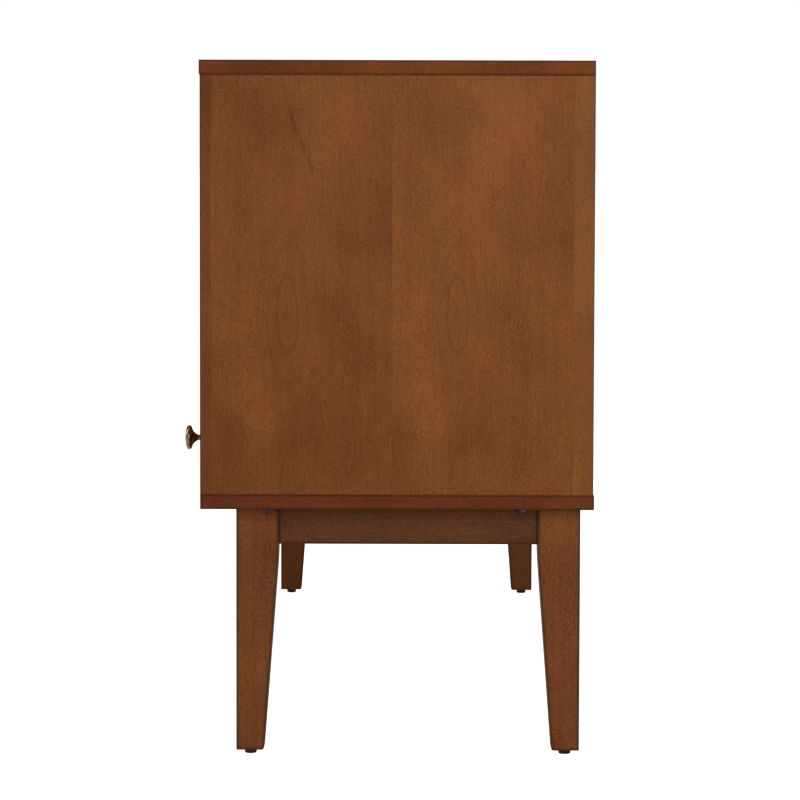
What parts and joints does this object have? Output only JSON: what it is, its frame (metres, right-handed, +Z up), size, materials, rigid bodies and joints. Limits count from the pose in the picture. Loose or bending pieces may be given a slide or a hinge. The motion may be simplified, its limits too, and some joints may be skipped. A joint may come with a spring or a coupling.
{
  "type": "sideboard buffet",
  "caption": "Long wooden sideboard on tapered legs, with sliding cupboard doors over wide drawers with round metal knobs.",
  "frame": {"origin": "on the floor, under the middle of the bounding box of the whole object with its drawer knobs", "axes": "+Z up; -Y toward the front, where the doors and drawers are; +X to the right for a person who stands in front and faces +Y"},
  "size_m": [1.524, 0.4602, 0.7685],
  "materials": {
    "antique_brass": "antique brass, worn bright on the edges",
    "apron_wood": "satin walnut-stained solid wood, lengthwise grain",
    "back_board": "matt brown hardboard",
    "black_plastic": "matt black plastic",
    "black_rubber": "soft black rubber",
    "dark_steel": "dark bronze-coated steel",
    "door_veneer": "satin walnut veneer, upright grain",
    "drawer_box_wood": "clear-lacquered light plywood",
    "drawer_front_veneer": "satin walnut veneer, lengthwise grain",
    "front_strip_veneer": "satin walnut veneer edge strip, upright grain",
    "inside_veneer": "matt walnut veneer inside the case",
    "leg_wood": "satin walnut-stained solid wood, upright grain",
    "nylon": "dark brown nylon",
    "panel_veneer": "satin walnut veneer, lengthwise grain",
    "plain_hardwood": "plain unfinished hardwood",
    "rear_strip_veneer": "satin walnut veneer edge strip, upright grain",
    "side_veneer": "satin walnut veneer, upright grain",
    "slide_steel": "zinc-plated sheet steel",
    "track_aluminium": "brown anodised aluminium",
    "zinc_steel": "zinc-plated steel"
  },
  "bodies": {
    "cabinet": {"apron_front": "apron_wood", "apron_left": "apron_wood", "apron_rear": "apron_wood", "apron_right": "apron_wood", "back_panel": "back_board", "barrel_nuts": "zinc_steel", "bottom_panel": "panel_veneer", "centre_stretcher": "plain_hardwood", "corner_blocks": "plain_hardwood", "door_bumpers": "black_rubber", "door_deck": "inside_veneer", "door_track_lower": "track_aluminium", "door_track_upper": "track_aluminium", "drawer_divider": "inside_veneer", "foot_glides": "black_plastic", "frame_screws": "zinc_steel", "front_edge_strips": "front_strip_veneer", "joint_bolts": "dark_steel", "leg_front_left": "leg_wood", "leg_front_right": "leg_wood", "leg_rear_left": "leg_wood", "leg_rear_right": "leg_wood", "pan_head_screws": "zinc_steel", "rear_edge_strips": "rear_strip_veneer", "shelf_left": "inside_veneer", "shelf_pins": "zinc_steel", "shelf_right": "inside_veneer", "side_panel_left": "side_veneer", "side_panel_right": "side_veneer", "slide_outer_members": "slide_steel", "top_panel": "panel_veneer", "upper_divider": "inside_veneer", "wood_dowels": "plain_hardwood"},
    "front_door": {"door_front_panel": "door_veneer", "door_front_stile": "door_veneer", "door_front_pull": "antique_brass", "door_front_runners": "nylon"},
    "rear_door": {"door_rear_panel": "door_veneer", "door_rear_stile": "door_veneer", "door_rear_pull": "antique_brass", "door_rear_runners": "nylon"},
    "left_drawer": {"drawer_left_front": "drawer_front_veneer", "drawer_left_inner_front": "drawer_box_wood", "drawer_left_sides": "drawer_box_wood", "drawer_left_back": "drawer_box_wood", "drawer_left_bottom": "drawer_box_wood", "drawer_left_knobs": "antique_brass", "drawer_left_screws": "zinc_steel", "drawer_left_inner_slides": "slide_steel"},
    "right_drawer": {"drawer_right_front": "drawer_front_veneer", "drawer_right_inner_front": "drawer_box_wood", "drawer_right_sides": "drawer_box_wood", "drawer_right_back": "drawer_box_wood", "drawer_right_bottom": "drawer_box_wood", "drawer_right_knobs": "antique_brass", "drawer_right_screws": "zinc_steel", "drawer_right_inner_slides": "slide_steel"},
    "left_middle_slides": {"drawer_left_middle_slides": "slide_steel"},
    "right_middle_slides": {"drawer_right_middle_slides": "slide_steel"}
  },
  "joints": [
    {"name": "front_door_slide", "type": "slide", "parent": "cabinet", "child": "front_door", "axis": [-1, 0, 0], "range_m": [0, 0.729]},
    {"name": "rear_door_slide", "type": "slide", "parent": "cabinet", "child": "rear_door", "axis": [1, 0, 0], "range_m": [0, 0.729]},
    {"name": "left_drawer_slide", "type": "slide", "parent": "cabinet", "child": "left_drawer", "axis": [0, -1, 0], "range_m": [0, 0.3]},
    {"name": "right_drawer_slide", "type": "slide", "parent": "cabinet", "child": "right_drawer", "axis": [0, -1, 0], "range_m": [0, 0.3]},
    {"name": "left_middle_slide", "type": "slide", "parent": "cabinet", "child": "left_middle_slides", "axis": [0, -1, 0], "range_m": [0, 0.15]},
    {"name": "right_middle_slide", "type": "slide", "parent": "cabinet", "child": "right_middle_slides", "axis": [0, -1, 0], "range_m": [0, 0.15]}
  ],
  "couplings": [
    {"joint": "left_middle_slide", "follows": "left_drawer_slide", "ratio": 0.5},
    {"joint": "right_middle_slide", "follows": "right_drawer_slide", "ratio": 0.5}
  ]
}
